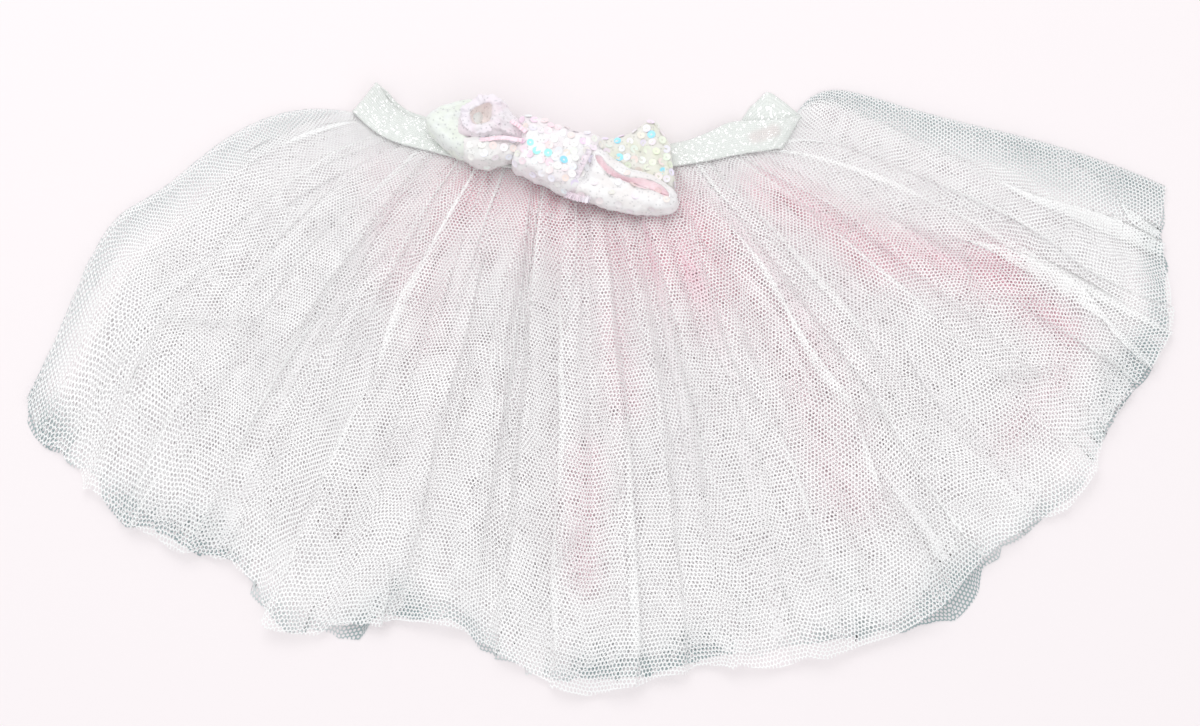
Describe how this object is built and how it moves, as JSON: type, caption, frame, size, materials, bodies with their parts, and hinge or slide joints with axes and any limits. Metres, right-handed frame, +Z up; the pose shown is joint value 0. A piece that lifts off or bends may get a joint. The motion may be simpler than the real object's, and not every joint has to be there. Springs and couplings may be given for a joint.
{
  "type": "child's ballet tutu skirt laid flat",
  "caption": "Gathered net tutu skirt laid flat: white net over pink net, hung from a knitted elastic waistband with a sequinned bow sewn to its front.",
  "frame": {"origin": "bottom centre of the bounding box, on the surface that the skirt lies on", "axes": "+X along the skirt's width, left to right as seen from above with the waist away from the viewer; +Y towards the waist; +Z up out of the surface, through the pile"},
  "size_m": [0.5768, 0.3084, 0.033],
  "materials": {
    "white_net": "soft white nylon net with hexagonal holes, matt with a slight sheen on its threads",
    "pink_net": "soft pink nylon net with hexagonal holes",
    "elastic": "white knitted elastic with glitter thread",
    "sequin_cloth": "white cloth covered in small iridescent sequins, lined in pink satin",
    "shimmer_cloth": "white shimmering cloth with a pale green cast"
  },
  "bodies": {
    "root": {"outer_net": "white_net", "middle_net": "white_net", "inner_net": "pink_net", "waistband": "elastic", "bow_knot": "sequin_cloth", "bow_loop_left_front": "sequin_cloth", "bow_loop_left_low": "sequin_cloth", "bow_loop_left_back": "shimmer_cloth", "bow_loop_right_front": "sequin_cloth", "bow_loop_right_back": "sequin_cloth"}
  },
  "joints": []
}
